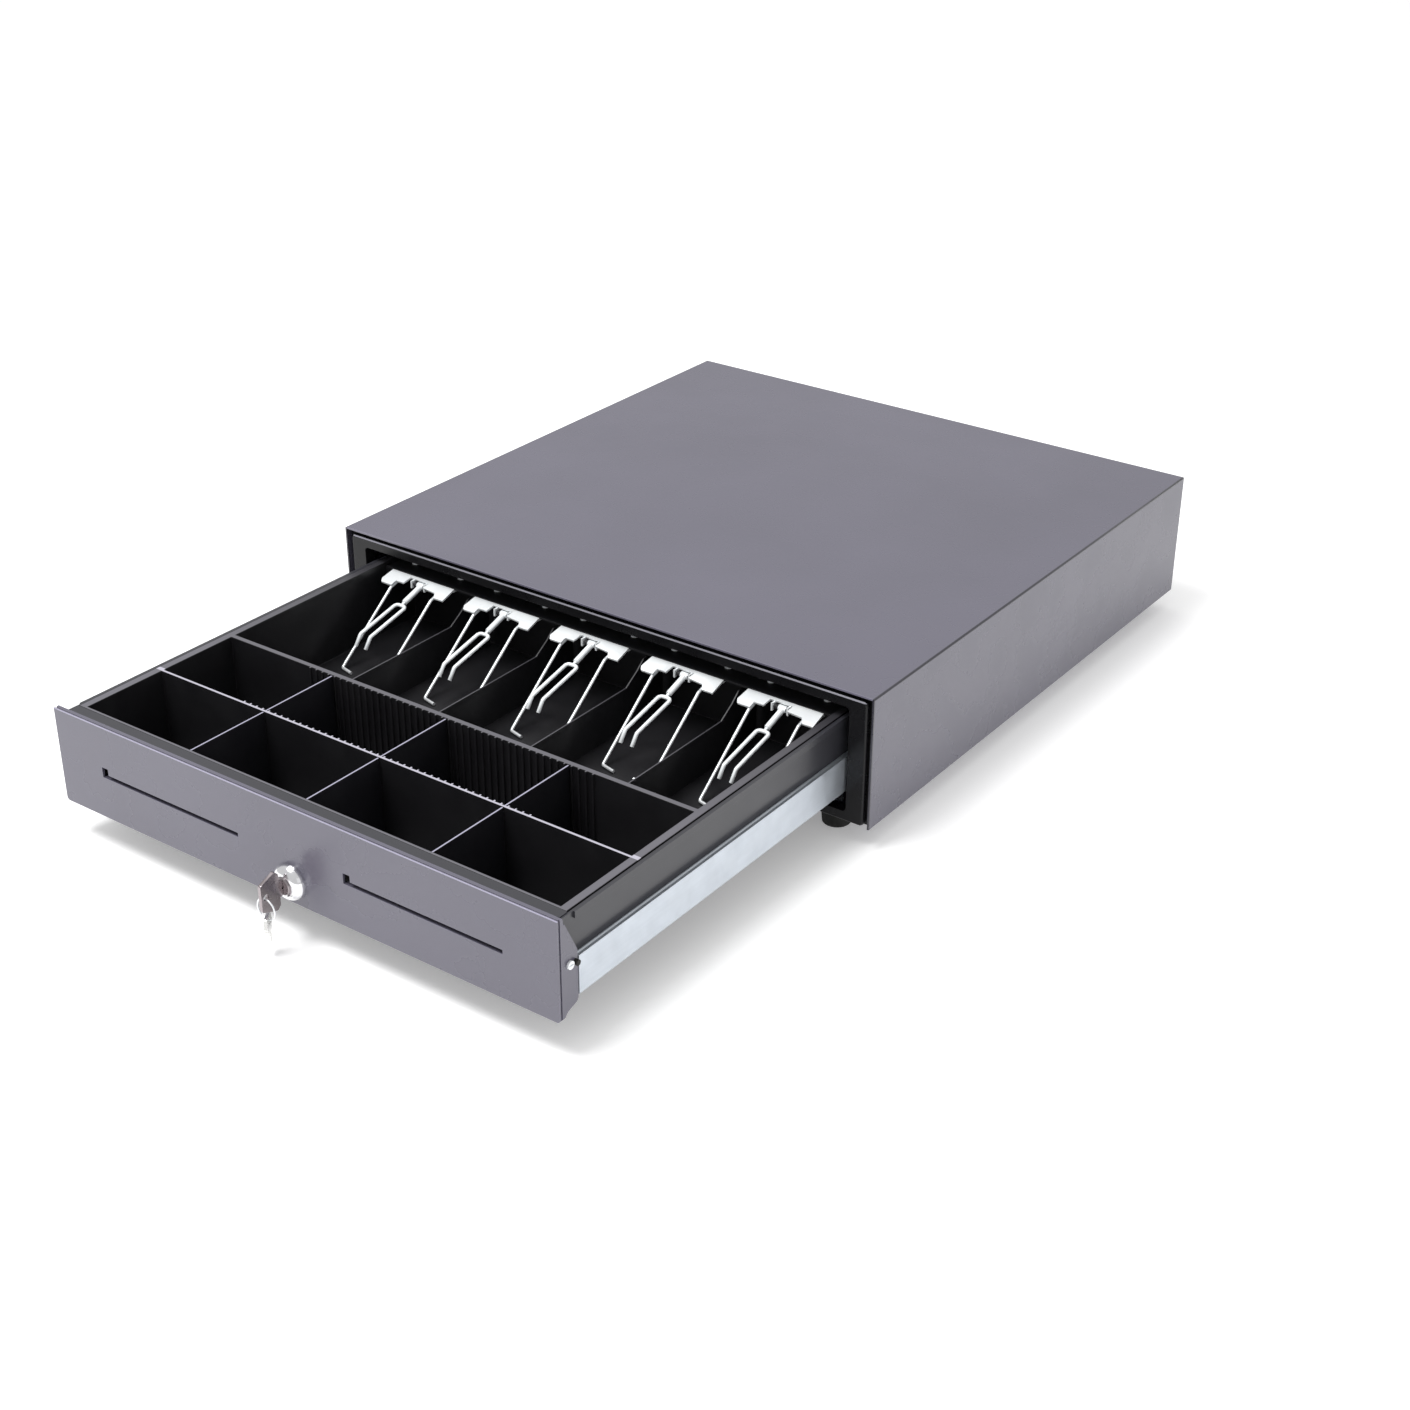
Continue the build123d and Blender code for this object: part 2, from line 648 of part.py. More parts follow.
with BuildPart() as till_tray:
    slab(
        (-till_inner_half_width - till_wall, till_inner_half_width + till_wall),
        (till_front_y, till_rear_y),
        (till_low_z, till_high_z),
    )
    slab(
        (-till_half_width, till_half_width),
        (till_front_y, till_rear_y + till_rear_rim),
        (till_high_z - till_rim_thickness, till_high_z),
    )
    till_inner_xs = (-till_inner_half_width, till_inner_half_width)
    open_rows = (
        (till_inner_front_y, coin_wall_y),
        (coin_wall_rear_y, note_wall_y),
        (note_wall_rear_y, till_inner_rear_y),
    )
    for row_ys in open_rows:
        slab(till_inner_xs, row_ys, (till_floor_z, till_high_z + 1), mode=Mode.SUBTRACT)
    for y, depth in ((coin_wall_rear_y, rib_depth), (note_wall_y, -rib_depth)):
        with Locations(*[(x, y + depth / 2, (till_floor_z + till_high_z) / 2) for x in rib_xs]):
            Box(rib_width, rib_depth, till_high_z - till_floor_z)
    for side in SIDES:
        slab(
            (side * ledge_xs[0], side * ledge_xs[1]),
            (clip_rear_y + 0.8, till_inner_rear_y),
            (ledge_z - 6, ledge_z),
        )
till_tray.part.label = "till_tray"
export_step(till_tray.part, "parts/till_tray.step")

coin_rows = (
    ("front", till_inner_front_y, coin_wall_y),
    ("rear", coin_wall_rear_y, note_wall_y),
)
for row, low_y, high_y in coin_rows:
    with BuildPart() as coin_dividers:
        for step in (-1, 0, 1):
            x = step * coin_divider_pitch
            slab(
                (x - coin_divider_thickness / 2, x + coin_divider_thickness / 2),
                (low_y + 0.1, high_y - 0.1),
                (till_floor_z, till_high_z - 0.5),
            )
    coin_dividers.part.label = f"coin_dividers_{row}"
    export_step(coin_dividers.part, f"parts/coin_dividers_{row}.step")

note_divider_xs = [note_bay_pitch * step for step in (-1.5, -0.5, 0.5, 1.5)]
note_divider_thickness = 1.0
note_divider_low_top_z = 59.0
note_divider_high_top_z = 72.0
note_divider_rear_y = till_inner_rear_y - 3.6
with BuildPart() as note_dividers:
    for x in note_divider_xs:
        with BuildSketch(Plane.YZ.offset(x - note_divider_thickness / 2)):
            Polygon(
                (note_wall_rear_y + 0.1, till_floor_z),
                (note_wall_rear_y + 0.1, note_divider_low_top_z),
                (-214, note_divider_low_top_z),
                (-203, 66),
                (-196, note_divider_high_top_z),
                (note_divider_rear_y, note_divider_high_top_z),
                (note_divider_rear_y, till_floor_z),
                align=None,
            )
        extrude(amount=note_divider_thickness)
note_dividers.part.label = "note_dividers"
export_step(note_dividers.part, "parts/note_dividers.step")

# --- Clip rail: the strip across the back of the till that the note clips are riveted to ---------
rail_strip_z = 76.6
rail_strip_front_y = clip_rear_y + 0.4
rail_strip_rear_y = till_inner_rear_y - 0.4
rivet_y = -184.5
rivet_x = 20.0
rivet_radius = 1.5
rivet_hole_radius = 1.6
rivet_places = [(c + side * rivet_x, rivet_y) for c in note_bay_centres for side in SIDES]

with BuildPart() as clip_rail:
    strip_xs = (-till_inner_half_width + 0.3, till_inner_half_width - 0.3)
    slab(strip_xs, (rail_strip_front_y, rail_strip_rear_y), (rail_strip_z, rail_strip_z + sheet))
    slab(
        (-till_inner_half_width + 6, till_inner_half_width - 6),
        (rail_strip_rear_y - sheet, rail_strip_rear_y),
        (60, rail_strip_z),
    )
    for x, y in rivet_places:
        rod_along((0, 0, 1), (x, y, rail_strip_z - 1), 4, rivet_hole_radius, mode=Mode.SUBTRACT)
clip_rail.part.label = "clip_rail"
export_step(clip_rail.part, "parts/clip_rail.step")

with BuildPart() as clip_rivets:
    for x, y in rivet_places:
        rod_along((0, 0, 1), (x, y, rail_strip_z - 2.8), 4.2, rivet_radius)
        rod_along((0, 0, 1), (x, y, rail_strip_z - 2.8), 1.4, 2.3)
        with Locations((x, y, rail_strip_z + sheet)):
            Cone(2.4, 1.4, 1.2, align=(Align.CENTER, Align.CENTER, Align.MIN))
clip_rivets.part.label = "clip_rivets"
export_step(clip_rivets.part, "parts/clip_rivets.step")

# --- Note clips: bracket, guide wires, hinge pin, spring and the lifting arm ---------------------
plate_tilt = math.hypot(1, clip_slope)
plate_down = (0, clip_slope / plate_tilt, -1 / plate_tilt)
clip_half_width = 26.5
ear_xs = (-6.6, 4.4)
pin_overhang = 1.4
hinge_barrel_half = 2.6
hinge_barrel_radius = 2.1
shaft_direction = (0, -16.5, -5.5)
shaft_length = 17.4
shaft_radius = 1.9
neck_length = 3.2
neck_radius = 1.0
hairpin_side = ((-260.0, 51.9), (-255.0, 58.8), (-221.0, 66.7))  # tip, bend and top in Y and Z
hairpin_bend_radius = 2.6

for number, c in enumerate(note_bay_centres, start=1):
    with BuildPart() as clip_bracket:
        plate_plane = Plane(origin=(c, clip_rear_y, clip_rear_z), x_dir=(1, 0, 0), z_dir=plate_down)
        with BuildSketch(plate_plane) as plate:
            Polygon(
                (-clip_half_width, 0),
                (-27.5, 10.2),
                (-25.5, 13.5),
                (-16.6, 13.5),
                (-16.6, 8.6),
                (-10.2, 8.6),
                (-9.2, 2.2),
                (6.6, 2.2),
                (5.8, 7.4),
                (16.8, 8.4),
                (19.5, 12.6),
                (27.0, 12.6),
                (clip_half_width, 0),
                align=None,
            )
            left_corners = plate.vertices().sort_by(Axis.X)[:3]
            fillet(left_corners.sort_by(Axis.Y)[1:], 1.2)
        extrude(amount=clip_sheet)
        slab(
            (c - clip_half_width, c + clip_half_width),
            (clip_rear_y - 0.8, clip_rear_y + 21),
            (rail_strip_z - 1.3, rail_strip_z - 0.1),
        )
        for ear_x in ear_xs:
            x = c + ear_x
            slab((x - 0.6, x + 0.6), (hinge_y - 2.3, hinge_y + 2.3), (hinge_z - 2.3, hinge_z + 2.6))
            rod_along((1, 0, 0), (x - 2, hinge_y, hinge_z), 4, pin_radius + 0.06, mode=Mode.SUBTRACT)
        for side in SIDES:
            hole_foot = (c + side * rivet_x, rivet_y, rail_strip_z - 2)
            rod_along((0, 0, 1), hole_foot, 3, rivet_hole_radius, mode=Mode.SUBTRACT)
    clip_bracket.part.label = f"clip_bracket_{number}"
    export_step(clip_bracket.part, f"parts/clip_bracket_{number}.step")

    with BuildPart() as clip_arm:
        hinge = (c, hinge_y, hinge_z)
        barrel_start = (c - hinge_barrel_half, hinge_y, hinge_z)
        rod_along((1, 0, 0), barrel_start, 2 * hinge_barrel_half, hinge_barrel_radius)
        rod_along(shaft_direction, hinge, shaft_length, shaft_radius)
        rod_along(shaft_direction, hinge, shaft_length + neck_length, neck_radius)
        rod_along((1, 0, 0), (c - 5, hinge_y, hinge_z), 10, pin_radius + 0.05, mode=Mode.SUBTRACT)
        hairpin = [(c - tine_x, y, z) for y, z in hairpin_side]
        hairpin += [(c + tine_x, y, z) for y, z in reversed(hairpin_side)]
        add(bent_wire(hairpin, hairpin_bend_radius, arm_wire_radius))
    clip_arm.part.label = f"clip_arm_{number}"
    export_step(clip_arm.part, f"parts/clip_arm_{number}.step")

with BuildPart() as clip_pins:
    for c in note_bay_centres:
        pin_start = (c + ear_xs[0] - pin_overhang, hinge_y, hinge_z)
        rod_along((1, 0, 0), pin_start, ear_xs[1] - ear_xs[0] + 2 * pin_overhang, pin_radius)
clip_pins.part.label = "clip_pins"
export_step(clip_pins.part, "parts/clip_pins.step")

spring_pitch = 0.62
spring_turns = 4
spring_coil_radius = 1.5
spring_wire_radius = 0.25
with BuildPart() as clip_springs:
    for c in note_bay_centres:
        with BuildLine():
            clip_coil = Helix(
                spring_pitch,
                spring_turns * spring_pitch,
                spring_coil_radius,
                center=(c - 5.5, hinge_y, hinge_z),
                direction=(1, 0, 0),
            )
        with BuildSketch(Plane(origin=clip_coil @ 0, z_dir=clip_coil % 0)):
            Circle(spring_wire_radius)
        sweep(path=clip_coil)
clip_springs.part.label = "clip_springs"
export_step(clip_springs.part, "parts/clip_springs.step")

guide_wire_drop = guide_wire_radius + 0.1


def plate_under_z(y):
    """Height of the underside of a clip's sloping plate."""
    return clip_rear_z + clip_slope * (y - clip_rear_y) - clip_sheet * plate_tilt


with BuildPart() as guide_wires:
    for c in note_bay_centres:
        for side in SIDES:
            x = c + side * guide_wire_x
            wire_points = (
                (x, -205.0, plate_under_z(-205.0) - guide_wire_drop),
                (x, -211.5, plate_under_z(-211.5) - guide_wire_drop),
                (x, -260.5, till_floor_z + guide_wire_drop + 0.3),
                (x - side * 10, -263.0, till_floor_z + guide_wire_drop + 0.3),
            )
            add(bent_wire(wire_points, 1.6, guide_wire_radius))
guide_wires.part.label = "guide_wires"
export_step(guide_wires.part, "parts/guide_wires.step")

# --- Lock: housing and nut on the panel, plug and cam that turn, key, key ring, spare key --------
plug_bore_radius = plug_radius + 0.06
cam_front_y = -452.2
cam_rear_y = -450.6
cam_width = 8.0
cam_post_radius = 2.5
keyway_width = key_thickness + 0.3
keyway_height = 8.0
dome_radius = 11.0
dome_front_y = panel_face_y - 6.8
dome_front_radius = 6.6

with BuildPart() as lock_housing:
    with BuildSketch(Plane.YZ):
        with BuildLine():
            Polyline(
                (plug_rear_y, 0),
                (plug_rear_y, lock_barrel_radius),
                (panel_face_y - 0.1, lock_barrel_radius),
                (panel_face_y - 0.1, dome_radius),
                (panel_face_y - 1.4, dome_radius),
            )
            ThreePointArc(
                (panel_face_y - 1.4, dome_radius),
                (panel_face_y - 5.0, 9.4),
                (dome_front_y, dome_front_radius),
            )
            Polyline((dome_front_y, dome_front_radius), (dome_front_y, 0), (plug_rear_y, 0))
        make_face()
    revolve(axis=Axis.Y)
    rod_along((0, 1, 0), (0, plug_nose_y - 1, 0), 22, plug_bore_radius, mode=Mode.SUBTRACT)
lock_housing.part.locate(Location((0, 0, lock_z)))
lock_housing.part.label = "lock_housing"
export_step(lock_housing.part, "parts/lock_housing.step")

nut_front_y = pan_front_y + sheet + 0.05
with BuildPart() as lock_nut:
    with BuildSketch(Plane.XZ.offset(-nut_front_y)):
        with Locations((0, lock_z)):
            RegularPolygon(10.6, 6, major_radius=False)
            Circle(lock_barrel_radius + 0.08, mode=Mode.SUBTRACT)
    extrude(amount=-3.0)
lock_nut.part.label = "lock_nut"
export_step(lock_nut.part, "parts/lock_nut.step")

with BuildPart() as lock_plug:
    rod_along((0, 1, 0), (0, plug_nose_y, lock_z), plug_rear_y - plug_nose_y, plug_radius)
    nose_edge = lock_plug.faces().sort_by(Axis.Y)[0].edges()
    chamfer(nose_edge, 0.6)
    rod_along((0, 1, 0), (0, plug_rear_y, lock_z), 2.2, cam_post_radius)
    slab(
        (-keyway_width / 2, keyway_width / 2),
        (plug_nose_y - 1, plug_nose_y + blade_length + 1),
        (lock_z - keyway_height / 2, lock_z + keyway_height / 2),
        mode=Mode.SUBTRACT,
    )
lock_plug.part.label = "lock_plug"
export_step(lock_plug.part, "parts/lock_plug.step")

cam_reach = 19.5
with BuildPart() as lock_cam:
    with BuildSketch(Plane.XZ.offset(-cam_front_y)):
        with Locations((5.5, lock_z)):
            SlotOverall(19, cam_width)
        with Locations((cam_reach / 2, lock_z)):
            RectangleRounded(cam_reach, cam_width, 1.0)
        with Locations((0, lock_z)):
            Circle(cam_post_radius + 0.05, mode=Mode.SUBTRACT)
    extrude(amount=-(cam_rear_y - cam_front_y))
lock_cam.part.label = "lock_cam"
export_step(lock_cam.part, "parts/lock_cam.step")


shoulder = 1.8  # from the end of the blade to the bow


def key_blank(blade, bow_length, bow_half_widths, bit_notches):
    """A flat key standing on its tip on the Z axis, its faces square to X. The bow is widest at the
    blade's end and narrows to the hole's end."""
    near_half, far_half = bow_half_widths
    bow_start = blade + shoulder
    bow_end = bow_start + bow_length
    with BuildPart() as blank:
        with BuildSketch(Plane.YZ.offset(-key_thickness / 2)):
            Polygon(
                (-blade_half_width, 2),
                (-1.4, 0),
                (1.4, 0),
                (blade_half_width, 2),
                (blade_half_width, bow_start + 1),
                (-blade_half_width, bow_start + 1),
                align=None,
            )
            with Locations((0, blade + 1)):
                Rectangle(9.5, 2.6)
            with BuildSketch(mode=Mode.PRIVATE) as bow:
                Polygon(
                    (-near_half + 2.5, bow_start),
                    (near_half - 2.5, bow_start),
                    (near_half, bow_start + 2.5),
                    (far_half, bow_end),
                    (-far_half, bow_end),
                    (-near_half, bow_start + 2.5),
                    align=None,
                )
                fillet(bow.vertices(), 1.2)
            add(bow.sketch)
            with Locations((0, bow_end - hole_to_end)):
                Circle(key_hole_radius, mode=Mode.SUBTRACT)
        extrude(amount=key_thickness)
        for place, depth in bit_notches:
            with Locations((0, blade_half_width, place)):
                Cylinder(depth, 3, rotation=(0, 90, 0), mode=Mode.SUBTRACT)
        for face in SIDES:
            slab(
                (face * (key_thickness / 2 - 0.35), face * key_thickness),
                (-0.8, 0.8),
                (-1, blade),
                mode=Mode.SUBTRACT,
            )
    return blank.part


bow_length = 13.2
key_tip_y = plug_nose_y + blade_length - 0.6
hole_y = key_tip_y - (blade_length + shoulder + bow_length - hole_to_end)
lock_key_notches = ((3.6, 0.9), (6.2, 1.3), (8.8, 0.8), (11.2, 1.1))

with BuildPart() as lock_key:
    lock_blank = key_blank(blade_length, bow_length, (12.2, 8.2), lock_key_notches)
    add(lock_blank.locate(Location((0, key_tip_y, lock_z), (90, 0, 0))))
lock_key.part.label = "lock_key"
export_step(lock_key.part, "parts/lock_key.step")

ring_top_z = lock_z - key_hole_radius + ring_wire_radius + 0.15
ring_centre_z = ring_top_z - ring_radius
with BuildPart() as key_ring:
    with Locations(Plane(origin=(0, hole_y, ring_centre_z), z_dir=(0, 1, 0))):
        Torus(ring_radius, ring_wire_radius)
key_ring.part.label = "key_ring"
export_step(key_ring.part, "parts/key_ring.step")

spare_blade = 7.5
spare_bow_length = 8.5
spare_hole_z = ring_centre_z - ring_radius - 1.1
spare_tip_z = spare_hole_z - (spare_blade + shoulder + spare_bow_length - hole_to_end)
with BuildPart() as spare_key:
    spare_blank = key_blank(spare_blade, spare_bow_length, (6.5, 4.5), ((3.0, 0.9), (5.4, 1.2)))
    add(spare_blank.locate(Location((0, hole_y, spare_tip_z), (0, 0, spare_turn))))
spare_key.part.label = "spare_key"
export_step(spare_key.part, "parts/spare_key.step")

# --- Striker on the back of the drawer pan -------------------------------------------------------
striker_z = 44.0
striker_reach_y = pan_rear_y + 17.0
staple_half_width = 8.0
staple_radius = 2.0

with BuildPart() as latch_striker:
    slab((-13, 13), (pan_rear_y, pan_rear_y + 1.2), (34, 56))
    staple_points = (
        (-staple_half_width, pan_rear_y + 1.0, striker_z),
        (-staple_half_width, striker_reach_y, striker_z),
        (staple_half_width, striker_reach_y, striker_z),
        (staple_half_width, pan_rear_y + 1.0, striker_z),
    )
    add(bent_wire(staple_points, 3.0, staple_radius))
latch_striker.part.label = "latch_striker"
export_step(latch_striker.part, "parts/latch_striker.step")

# --- Latch on the cabinet floor: bracket, hook, pivot pin, solenoid ------------------------------
latch_base_z = base_z + sheet
latch_plate = 1.2
latch_pin_radius = 2.0
latch_bore_radius = latch_pin_radius + 0.06
link_offset_y = 18.0  # from the hook's pivot back to the plunger's link pin

with BuildPart() as latch_bracket:
    slab((-20, 20), (128, 172), (latch_base_z, latch_base_z + latch_plate))
    for side in SIDES:
        slab((side * 2.6, side * 4.1), (133, 144.5), (latch_base_z, 58))
    rod_along((1, 0, 0), (-8, latch_pivot_y, latch_pivot_z), 16, latch_bore_radius, mode=Mode.SUBTRACT)
latch_bracket.part.label = "latch_bracket"
export_step(latch_bracket.part, "parts/latch_bracket.step")

with BuildPart() as latch_pin:
    rod_along((1, 0, 0), (-4.8, latch_pivot_y, latch_pivot_z), 9.6, latch_pin_radius)
    rod_along((1, 0, 0), (-6.0, latch_pivot_y, latch_pivot_z), 1.2, 3.2)
latch_pin.part.label = "latch_pin"
export_step(latch_pin.part, "parts/latch_pin.step")

with BuildPart() as latch_hook:
    with BuildSketch(Plane.YZ.offset(-2)):
        Polygon(
            (102.5, 40.5),
            (107.5, 40.5),
            (107.5, 47.5),
            (134, 47.5),
            (140, 46.5),
            (150, 49),
            (162, 49),
            (162, 55),
            (140, 57.5),
            (106, 55),
            (102.5, 52),
            align=None,
        )
        with Locations((latch_pivot_y, latch_pivot_z)):
            Circle(latch_bore_radius, mode=Mode.SUBTRACT)
        with Locations((latch_pivot_y + link_offset_y, latch_pivot_z)):
            SlotOverall(5.4, 2.4, mode=Mode.SUBTRACT)
    extrude(amount=4)
pivot_axis = Axis((0, latch_pivot_y, latch_pivot_z), (1, 0, 0))
released_hook = latch_hook.part.rotate(pivot_axis, -latch_angle)
released_hook.label = "latch_hook"
export_step(released_hook, "parts/latch_hook.step")

frame_low_z = latch_base_z + latch_plate
frame_high_z = 42.0
coil_low_z = frame_low_z + 2.1
with BuildPart() as solenoid_frame:
    slab((-11, 11), (145.5, 169.5), (frame_low_z, frame_high_z))
    slab((-12, 12), (147.5, 167.5), (frame_low_z + 2, frame_high_z - 2), mode=Mode.SUBTRACT)
    rod_along((0, 0, 1), (0, plunger_y, frame_high_z - 3), 4, 3.6, mode=Mode.SUBTRACT)
solenoid_frame.part.label = "solenoid_frame"
export_step(solenoid_frame.part, "parts/solenoid_frame.step")

with BuildPart() as solenoid_coil:
    rod_along((0, 0, 1), (0, plunger_y, coil_low_z), frame_high_z - 2.1 - coil_low_z, 9.0)
    rod_along((0, 0, 1), (0, plunger_y, frame_low_z + 2), 30, 3.42, mode=Mode.SUBTRACT)
solenoid_coil.part.label = "solenoid_coil"
export_step(solenoid_coil.part, "parts/solenoid_coil.step")

link_z = latch_pivot_z - link_offset_y * math.sin(math.radians(latch_angle))
plunger_radius = 3.3
plunger_top_z = 43.2
with BuildPart() as solenoid_plunger:
    rod_along(
        (0, 0, 1),
        (0, plunger_y, frame_low_z + 3),
        plunger_top_z - frame_low_z - 3,
        plunger_radius,
    )
    for side in SIDES:
        slab((side * 2.3, side * 3.9), (plunger_y - 3, plunger_y + 3), (42.6, link_z + 2.6))
    slab((-3.9, 3.9), (plunger_y - 3, plunger_y + 3), (42.2, 43.4))
    rod_along((1, 0, 0), (-3.9, plunger_y, link_z), 7.8, 1.0)
solenoid_plunger.part.label = "solenoid_plunger"
export_step(solenoid_plunger.part, "parts/solenoid_plunger.step")

# --- Ejector: a compression spring on a rod that kicks the drawer open ---------------------------
ejector_x = 60.0
ejector_z = 44.0
seat_y = 124.0
seat_high_z = 58.0
seat_half_width = 12.0
seat_sheet = 2.0
ejector_rod_radius = 4.0
ejector_rod_length = 28.0
eject_coil_length = 48.0
eject_coil_pitch = 5.0
eject_coil_radius = 5.6
eject_wire_radius = 0.8

with BuildPart() as spring_seat:
    seat_xs = (ejector_x - seat_half_width, ejector_x + seat_half_width)
    slab(seat_xs, (seat_y, seat_y + seat_sheet), (latch_base_z, seat_high_z))
    slab(seat_xs, (seat_y, seat_y + 22), (latch_base_z, latch_base_z + seat_sheet))
    rod_along((0, -1, 0), (ejector_x, seat_y, ejector_z), ejector_rod_length, ejector_rod_radius)
spring_seat.part.label = "spring_seat"
export_step(spring_seat.part, "parts/spring_seat.step")

with BuildPart() as eject_spring:
    with BuildLine():
        eject_coil = Helix(
            eject_coil_pitch,
            eject_coil_length,
            eject_coil_radius,
            center=(ejector_x, seat_y - 1.0, ejector_z),
            direction=(0, -1, 0),
        )
    with BuildSketch(Plane(origin=eject_coil @ 0, z_dir=eject_coil % 0)):
        Circle(eject_wire_radius)
    sweep(path=eject_coil)
eject_spring.part.label = "eject_spring"
export_step(eject_spring.part, "parts/eject_spring.step")
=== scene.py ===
import json
import math

import bmesh
import bpy
from mathutils import Matrix, Vector


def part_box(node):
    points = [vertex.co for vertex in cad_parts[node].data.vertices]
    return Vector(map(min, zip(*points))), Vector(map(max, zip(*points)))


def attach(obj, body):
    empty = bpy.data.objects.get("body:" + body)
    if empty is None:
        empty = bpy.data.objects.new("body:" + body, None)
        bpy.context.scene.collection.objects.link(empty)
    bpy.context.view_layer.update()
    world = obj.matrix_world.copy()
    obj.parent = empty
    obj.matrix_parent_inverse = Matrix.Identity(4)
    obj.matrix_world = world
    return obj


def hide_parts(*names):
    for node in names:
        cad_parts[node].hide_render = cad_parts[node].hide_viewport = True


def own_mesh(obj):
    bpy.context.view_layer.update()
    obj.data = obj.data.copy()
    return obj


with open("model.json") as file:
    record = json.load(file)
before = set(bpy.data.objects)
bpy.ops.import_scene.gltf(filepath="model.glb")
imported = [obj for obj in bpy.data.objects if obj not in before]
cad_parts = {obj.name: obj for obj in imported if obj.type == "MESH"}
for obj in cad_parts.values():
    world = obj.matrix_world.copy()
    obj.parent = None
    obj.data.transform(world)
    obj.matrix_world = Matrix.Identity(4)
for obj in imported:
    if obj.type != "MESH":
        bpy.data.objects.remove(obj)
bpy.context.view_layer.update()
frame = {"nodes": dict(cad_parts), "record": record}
cad_nodes = frame["nodes"]

# --- Camera -------------------------------------------------------------------------------------
CAMERA_PLACE = Vector((0.75736, -1.13831, 0.67765))  # metres
CAMERA_AZIMUTH = math.radians(35.633)
CAMERA_DOWN = math.radians(28.268)
CAMERA_ROLL = math.radians(0.298)
CAMERA_LENS = 55.62  # mm
SENSOR_WIDTH = 36  # mm
NEAREST, FARTHEST = 0.01, 100  # metres

level_right = Vector((math.cos(CAMERA_AZIMUTH), math.sin(CAMERA_AZIMUTH), 0))
level_forward = Vector((-math.sin(CAMERA_AZIMUTH), math.cos(CAMERA_AZIMUTH), 0))
forward = level_forward * math.cos(CAMERA_DOWN) - Vector((0, 0, math.sin(CAMERA_DOWN)))
level_up = level_right.cross(forward)
right = level_right * math.cos(CAMERA_ROLL) + level_up * math.sin(CAMERA_ROLL)
up = right.cross(forward)

camera_data = bpy.data.cameras.new("camera")
camera_data.lens = CAMERA_LENS
camera_data.sensor_width = SENSOR_WIDTH
camera_data.clip_start, camera_data.clip_end = NEAREST, FARTHEST
camera = bpy.data.objects.new("camera", camera_data)
turned = Matrix((right, up, -forward)).transposed().to_4x4()
camera.matrix_world = Matrix.Translation(CAMERA_PLACE) @ turned
bpy.context.scene.collection.objects.link(camera)
bpy.context.scene.camera = camera


# --- Materials ----------------------------------------------------------------------------------
MASK_RAMP = 0.0001  # metres over which a mask between two limits comes in and goes out
TOPS_RAMP = 0.001  # metres over which the mask on the tops of walls comes in


